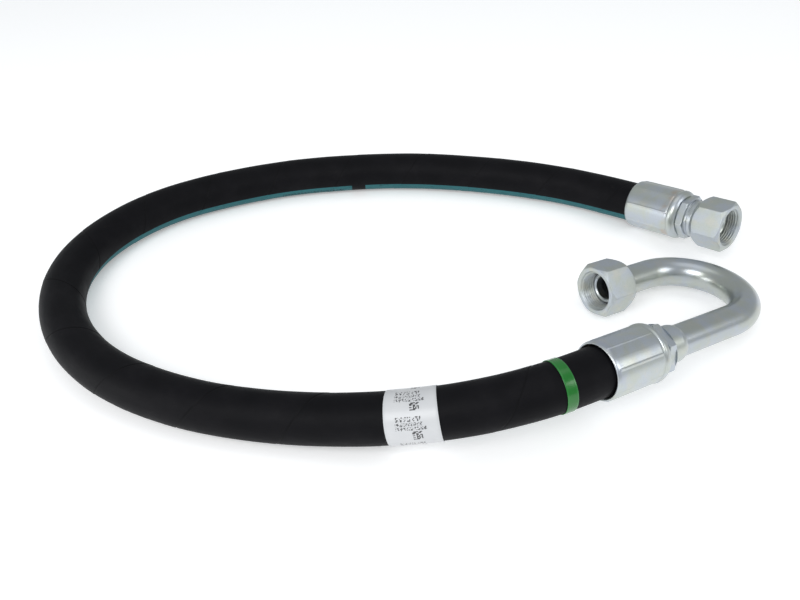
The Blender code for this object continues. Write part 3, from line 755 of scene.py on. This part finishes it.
def hex_rows(reach, back, back_face, back_length, front, front_face, front_length, corner):
    """Rows over a hexagon between turned chamfers: back edge and chamfer, flats, front chamfer and edge."""
    bevel = 0.22 * MM
    back_slope = back_length / (corner - back_face)
    front_slope = front_length / (corner - front_face)
    ones = np.ones_like(reach)
    meet_back = back + (reach - back_face) * back_slope
    meet_front = front - (reach - front_face) * front_slope
    rows = [
        (back * ones, (back_face - bevel) * ones),
        ((back + bevel * 0.3) * ones, (back_face + bevel * 0.2) * ones),
        ((back + bevel * 1.6 * back_slope) * ones, (back_face + bevel * 1.6) * ones),
        (meet_back - bevel * back_slope * 1.5, reach - bevel * 1.5),
        (meet_back - bevel * back_slope * 0.5, reach - bevel * 0.5),
        (meet_back + bevel * 0.5, reach - bevel * 0.08),
        (meet_back + bevel * 1.6, reach),
    ]
    for share in (0.25, 0.5, 0.75):
        rows.append((meet_back * (1 - share) + meet_front * share, reach))
    rows += [
        (meet_front - bevel * 1.6, reach),
        (meet_front - bevel * 0.5, reach - bevel * 0.08),
        (meet_front + bevel * front_slope * 0.5, reach - bevel * 0.5),
        (meet_front + bevel * front_slope * 1.5, reach - bevel * 1.5),
        ((front - bevel * 1.2 * front_slope) * ones, (front_face + bevel * 1.2) * ones),
        ((front - bevel * 0.25) * ones, (front_face + bevel * 0.2) * ones),
        (front * ones, (front_face - bevel) * ones),
    ]
    return rows


def rows_mesh(name, rows, angles, sharp=35):
    station = np.array([row[0] for row in rows])
    radius = np.array([row[1] for row in rows])
    points = np.stack((radius * np.cos(angles), radius * np.sin(angles), station), -1)
    return grid_mesh(name, points, sharp=sharp)


def nut_mesh(name, turn):
    """The swivel nut: chamfered hexagon, turned front ring, helical thread, seat and back bore."""
    mm = MM
    angles = hex_angles(turn)
    ones = np.ones_like(angles)
    reach = hex_radius(angles, turn, NUT_APOTHEM * mm, 0.55 * mm)
    rows = hex_rows(reach, 0.0, 17.8 * mm, 6.0 * mm, NUT_LENGTH * mm, 20.25 * mm, 2.5 * mm, NUT_CORNER * mm)
    front_ring = ((30.0, 17.35), (29.9, 17.15), (29.75, 17.0), (28.95, 16.35), (28.85, 16.3))
    rows += round_rows(in_metres(front_ring), ones)
    pitch = THREAD_PITCH * mm
    thread_rows = 108
    for station in np.linspace(THREAD_START, THREAD_END, thread_rows):
        turn_share = (station * mm / pitch - angles / (2 * math.pi)) % 1.0
        tooth = np.abs(2 * turn_share - 1)
        profile = np.clip((tooth - 0.10) / 0.80, 0, 1)
        fade_in = ease((28.8 - station) / 0.9)
        fade_out = ease((station - THREAD_END) / 1.2)
        cut = THREAD_MINOR + (THREAD_MAJOR - THREAD_MINOR) * profile
        entry = 16.3 if station > 28.0 else THREAD_MINOR
        radius = cut * fade_out + THREAD_MINOR * (1 - fade_out)
        radius = radius * fade_in + np.maximum(entry, cut) * (1 - fade_in)
        rows.append((station * mm * ones, radius * mm))
    seat = ((10.0, 15.2), (8.9, 15.2), (8.75, 15.12), (7.1, 13.5), (6.9, 13.4), (6.7, 13.4))
    back_bore = ((0.7, 13.4), (0.45, 13.45), (0.05, 13.85), (0.0, 14.0))
    rows += round_rows(in_metres(seat + back_bore), ones)
    return rows_mesh(name, rows, angles, sharp=28)


def nose_outline(back):
    mm = MM
    points = (
        (7.15, 13.1),
        (8.85, 14.8),
        (15.34, 14.8),
        (15.5, 14.7),
        (15.5, 11.95),
        (17.9, 11.95),
        (17.9, 13.3),
        (19.3, 12.5),
        (19.5, 12.3),
    )
    return [(back + s * mm, r * mm) for s, r in points]


def stem_outline():
    points = [(2.0, 8.6), (2.0, 10.7)]
    for barb in range(BARBS):
        top = 2.0 + (barb + 1) * BARB_PITCH
        points += [(top - 1.8, 11.9), (top, 11.3)]
    points += [(45.8, 11.3), (45.8, STEM_RADIUS), (53.25, STEM_RADIUS), (COLLAR_START, STEM_RADIUS)]
    return in_metres(points)


def round_rows(points, ones):
    return [(s * ones, r * ones) for s, r in points]


def with_corners(points, radius=0.2 * MM):
    """An open (station, radius) line with its inner corners rounded."""
    out = [np.array(points[0], float)]
    for before, corner, after in zip(points, points[1:], points[2:]):
        before, corner, after = (np.array(p, float) for p in (before, corner, after))
        for towards in (before, after):
            towards -= corner
        lengths = [np.linalg.norm(before), np.linalg.norm(after)]
        start = corner + before / lengths[0] * min(radius, 0.4 * lengths[0])
        end = corner + after / lengths[1] * min(radius, 0.4 * lengths[1])
        out.append(start + (start - corner) * 0.2)
        for t in (0.0, 0.33, 0.67, 1.0):
            out.append((1 - t) ** 2 * start + 2 * t * (1 - t) * corner + t * t * end)
        out.append(end + (end - corner) * 0.2)
    out.append(np.array(points[-1], float))
    return out


def collar_rows(angles, turn, start, end):
    reach = hex_radius(angles, turn, COLLAR_APOTHEM * MM, 0.5 * MM)
    return hex_rows(reach, start, 18.6 * MM, 0.9 * MM, end, 18.9 * MM, 0.9 * MM, COLLAR_CORNER * MM)


def straight_nipple_mesh(name, turn):
    mm = MM
    angles = hex_angles(turn)
    ones = np.ones_like(angles)
    rows = round_rows(with_corners(stem_outline()), ones)
    rows += collar_rows(angles, turn, COLLAR_START * mm, COLLAR_END * mm)
    neck = [
        (60.3, 17.8), (60.6, 17.3), (61.4, 17.2), (62.6, 17.2), (62.8, 16.6), (63.6, 16.6), (63.8, 17.2),
        (66.4, 17.2), (66.75, 16.8), (66.75, 13.0), (74.0, 13.0),
    ]
    nose = nose_outline(STRAIGHT_NUT_BACK)
    inside = [(86.7, 11.0), (86.6, 10.6), (84.9, 8.75), (84.6, 8.6)]
    line = in_metres(neck) + nose + in_metres(inside)
    rows += round_rows(with_corners(line, 0.15 * mm), ones)
    return rows_mesh(name, rows, angles)


def bent_nipple_mesh(name, turn):
    mm = MM
    angles = hex_angles(turn)
    ones = np.ones_like(angles)
    rows = round_rows(with_corners(stem_outline()), ones)
    rows += collar_rows(angles, turn, COLLAR_START * mm, COLLAR_END * mm)
    boss = [
        (60.4, 18.2), (61.5, 17.0), (62.3, 16.2), (62.7, 15.2), (63.3, 14.75), (66.0, 14.7), (73.6, 14.7),
        (75.2, 14.45), (76.8, 13.8), (78.1, 13.25), (78.5, 12.95), (78.5, 12.8), (63.5, 12.8), (63.5, 8.6),
    ]
    rows += round_rows(with_corners(in_metres(boss), 0.15 * mm), ones)
    return rows_mesh(name, rows, angles)


def bent_tube_mesh(name):
    """The tube, bent in its own XZ plane. Its section flattens a little round the bend."""
    sides = 96
    path = []
    for s in (63.8, 64.1, 72.0, 84.0, 98.0, 112.0, 126.0, 135.0):
        path.append(((0.0, s * MM), (1.0, 0.0)))
    steps = 72
    for i in range(steps + 1):
        a = math.pi * i / steps
        across = TUBE_BEND_RADIUS - TUBE_BEND_RADIUS * math.cos(a)
        ahead = TUBE_BEND_START + TUBE_BEND_RADIUS * math.sin(a)
        path.append(((across, ahead), (math.cos(a), -math.sin(a))))
    for t in (4.0, 12.0, 22.0, 32.0, 38.0, 41.9, 42.2):
        path.append(((2 * TUBE_BEND_RADIUS, TUBE_BEND_START - t * MM), (-1.0, 0.0)))
    angles = np.linspace(0, 2 * math.pi, sides, endpoint=False)

    def wall(radius, line):
        rows = []
        count = len(line)
        for k, ((x, z), (ax, az)) in enumerate(line):
            share = k / (count - 1)
            bent = max(0.0, math.sin(math.pi * min(max((share - 0.07) / 0.86, 0), 1))) ** 0.5
            r = radius * (1 - 0.012 * bent * np.cos(2 * angles))
            across = r * np.cos(angles)
            up = r * np.sin(angles)
            rows.append(np.column_stack((x + ax * across, up, z + az * across)))
        return rows

    outer = wall(TUBE_RADIUS * MM, path)
    inner = wall(TUBE_BORE * MM, path)[::-1]
    points = np.array(outer + inner)
    return grid_mesh(name, points, sharp=40)


def torus_mesh(name, radius, wire):
    steps = 20
    segments = 96
    round_angles = [2 * math.pi * i / steps for i in range(steps)]
    outline = np.array([(wire * math.sin(a), radius + wire * math.cos(a)) for a in round_angles])
    angles = np.linspace(0, 2 * math.pi, segments, endpoint=False)
    s = np.repeat(outline[:, :1], segments, 1)
    r = np.repeat(outline[:, 1:], segments, 1)
    return grid_mesh(name, np.stack((r * np.cos(angles), r * np.sin(angles), s), -1))


# Scene


def fitting_matrix(mouth, heading, rise, roll):
    turn = Matrix.Rotation(heading, 4, "Z") @ Matrix.Rotation(math.pi / 2 - rise, 4, "Y")
    return Matrix.Translation(mouth) @ turn @ Matrix.Rotation(roll, 4, "Z")


def add_camera():
    data = bpy.data.cameras.new("camera")
    data.lens = CAMERA_LENS
    data.sensor_width = 36.0
    data.clip_start = 0.02
    camera = linked("camera", data)
    turn = Matrix.Rotation(math.pi / 2 - CAMERA_PITCH, 4, "X") @ Matrix.Rotation(CAMERA_ROLL, 4, "Z")
    camera.matrix_world = Matrix.Translation(CAMERA_AT) @ turn
    bpy.context.scene.camera = camera


def place(name, mesh, matrix, material, slot, body, *nodes):
    piece = linked(name, mesh, matrix)
    mesh.materials.append(material)
    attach(piece, body)
    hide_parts(*nodes)
    return piece


def build_hose(axis):
    rubber = rubber_material()
    wire = wire_material()
    cover_mesh = sheared_tube("hose_cover_wrapped", axis)
    cover = place("hose_cover_wrapped", cover_mesh, None, rubber, "rubber", ROOT, "hose_cover")
    start, end = -HOSE_INSIDE, axis.length + HOSE_INSIDE
    for layer in range(4, 0, -1):
        radius = WIRE_RADIUS - (4 - layer) * WIRE_STEP
        name = f"wire_layer_{layer}"
        mesh = hose_sleeve(name, axis, start, end, radius - WIRE_THICKNESS, radius, sides=40, spacing=0.012)
        place(name, mesh, None, wire, "wire", ROOT, f"wire_spiral_{layer}")
    liner = hose_sleeve("hose_inner_tube", axis, start, end, LINER_BORE, LINER_RADIUS, sides=40, spacing=0.012)
    liner_rubber = plain_rubber("liner_rubber", (0.010, 0.010, 0.010), 0.45)
    place("hose_inner_tube", liner, None, liner_rubber, "liner", ROOT, "hose_liner")
    label_mesh = hose_sleeve(
        "label_film", axis, LABEL_START, LABEL_END, SLEEVE_BORE, LABEL_RADIUS, sides=96, spacing=0.002
    )
    label = place("label_film", label_mesh, None, label_material(), "label", ROOT, "hose_label")
    band_mesh = hose_sleeve(
        "green_tape_band", axis, BAND_START, BAND_END, SLEEVE_BORE, BAND_RADIUS, sides=96, spacing=0.001,
        lip=0.00004,
    )
    band = place("green_tape_band", band_mesh, None, band_material(), "band", ROOT, "colour_band")
    path = axis.free[:: 12]
    path = np.vstack((path, axis.free[-1:])) if len(axis.free) % 12 != 1 else path


def build_fittings():
    straight = fitting_matrix(STRAIGHT_MOUTH, STRAIGHT_HEADING, STRAIGHT_RISE, 0.0)
    bent = fitting_matrix(BENT_MOUTH, BENT_HEADING, BENT_RISE, math.pi / 2 - BENT_TILT)
    bend_end = Vector((2 * TUBE_BEND_RADIUS, 0.0, TUBE_BEND_START))
    bent_nut = bent @ Matrix.Translation(bend_end) @ Matrix.Rotation(math.pi, 4, "X")
    shift = Matrix.Translation
    straight_seat = straight @ shift((0, 0, STRAIGHT_NUT_BACK))
    bent_seat = bent_nut @ shift((0, 0, BENT_NUT_BACK))
    far_tint = (0.0385, 0.0455, (0.50, 0.38, 0.28), 0.5)
    near_tint = (0.001, 0.006, (0.42, 0.46, 0.60), 0.45)
    far_ferrule = zinc_material("zinc_ferrule_far", rough=0.27, streak=0.5, tint_band=far_tint)
    near_ferrule = zinc_material("zinc_ferrule_near", rough=0.25, streak=0.5, tint_band=near_tint)
    turned_zinc = zinc_material("zinc_turned", rough=0.27, rings=0.9)
    tube_zinc = zinc_material("zinc_tube", rough=0.31, mottle=0.4, shade=0.90)
    nut_far = zinc_material("zinc_nut_far", rough=0.36, streak=1.0, shade=0.98, warm=0.1)
    nut_near = zinc_material("zinc_nut_near", rough=0.38, streak=1.0, shade=0.98, warm=0.1)
    seal = plain_rubber("seal_rubber", (0.010, 0.010, 0.010), 0.34)
    segments = 384
    ridges = ferrule_ridge(FERRULE_TURN["straight"], 0.4)
    mesh = smooth_outline_mesh("straight_crimped_ferrule", ferrule_outline(), segments, ridges)
    place("straight_crimped_ferrule", mesh, straight, far_ferrule, "zinc", ROOT, "straight_ferrule")
    ridges = ferrule_ridge(FERRULE_TURN["bent"], 2.1)
    mesh = smooth_outline_mesh("bent_crimped_ferrule", ferrule_outline(), segments, ridges)
    place("bent_crimped_ferrule", mesh, bent, near_ferrule, "zinc", ROOT, "bent_ferrule")
    mesh = straight_nipple_mesh("straight_swivel_nipple", STRAIGHT_COLLAR_TURN)
    place("straight_swivel_nipple", mesh, straight, turned_zinc, "zinc", ROOT, "straight_nipple")
    mesh = bent_nipple_mesh("bent_socket_nipple", BENT_COLLAR_TURN)
    place("bent_socket_nipple", mesh, bent, turned_zinc, "zinc", ROOT, "bent_nipple")
    mesh = bent_tube_mesh("return_bend_tube")
    place("return_bend_tube", mesh, bent, tube_zinc, "zinc", ROOT, "bent_tube")
    cone_bore = ((19.5, 10.9), (19.4, 10.6), (18.5, 9.6), (18.2, 9.5), (12.3, 9.5), (12.3, 12.8), (7.15, 12.8))
    cone_line = nose_outline(BENT_NUT_BACK) + [(BENT_NUT_BACK + s * MM, r * MM) for s, r in cone_bore]
    mesh = turned("bent_seat_cone", cone_line, 128, 0.15 * MM)
    place("bent_seat_cone", mesh, bent_nut, turned_zinc, "zinc", ROOT, "bent_cone")
    groove = straight @ shift((0, 0, STRAIGHT_NUT_BACK + O_RING_STATION))
    mesh = torus_mesh("straight_seal_ring", O_RING_RADIUS, O_RING_WIRE)
    place("straight_seal_ring", mesh, groove, seal, "seal", ROOT, "straight_o_ring")
    groove = bent_nut @ shift((0, 0, BENT_NUT_BACK + O_RING_STATION))
    mesh = torus_mesh("bent_seal_ring", O_RING_RADIUS, O_RING_WIRE)
    place("bent_seal_ring", mesh, groove, seal, "seal", ROOT, "bent_o_ring")
    mesh = nut_mesh("straight_hex_nut", STRAIGHT_NUT_TURN)
    place("straight_hex_nut", mesh, straight_seat, nut_far, "satin_zinc", "straight_swivel_nut", "straight_nut")
    mesh = nut_mesh("bent_hex_nut", BENT_NUT_TURN)
    place("bent_hex_nut", mesh, bent_seat, nut_near, "satin_zinc", "bent_swivel_nut", "bent_nut")


def add_area(name, at, aim, size, power):
    data = bpy.data.lights.new(name, "AREA")
    data.shape = "RECTANGLE"
    data.size, data.size_y = size
    data.energy = power
    lamp = linked(name, data)
    lamp.location = at
    lamp.rotation_euler = (Vector(aim) - Vector(at)).to_track_quat("-Z", "Y").to_euler()


def build_studio():
    floor = bpy.data.meshes.new("floor")
    reach = 6.0
    corners = [(-reach, -reach, 0), (reach, -reach, 0), (reach, reach, 0), (-reach, reach, 0)]
    floor.from_pydata(corners, [], [(0, 1, 2, 3)])
    floor.materials.append(floor_material())
    linked("floor", floor)
    world = bpy.data.worlds.new("studio")
    bpy.context.scene.world = world
    world.use_nodes = True
    background = world.node_tree.nodes["Background"]
    background.inputs["Color"].default_value = (0.93, 0.97, 1.0, 1.0)
    background.inputs["Strength"].default_value = 0.54
    middle = (-0.15, 0.0, 0.0)
    add_area("key", (-0.75, -1.15, 1.25), middle, (1.0, 0.8), 13.0)
    add_area("right", (1.35, -0.75, 1.1), middle, (0.8, 0.8), 6.0)
    add_area("top", (-0.1, 0.25, 1.9), middle, (1.6, 1.2), 3.5)
    add_area("left", (-1.75, -0.65, 0.30), (0.02, 0.0, 0.03), (1.0, 0.7), 7.0)
    bpy.context.scene.view_settings.view_transform = "Standard"


add_camera()
hose_axis = HoseAxis()
build_hose(hose_axis)
build_fittings()
build_studio()
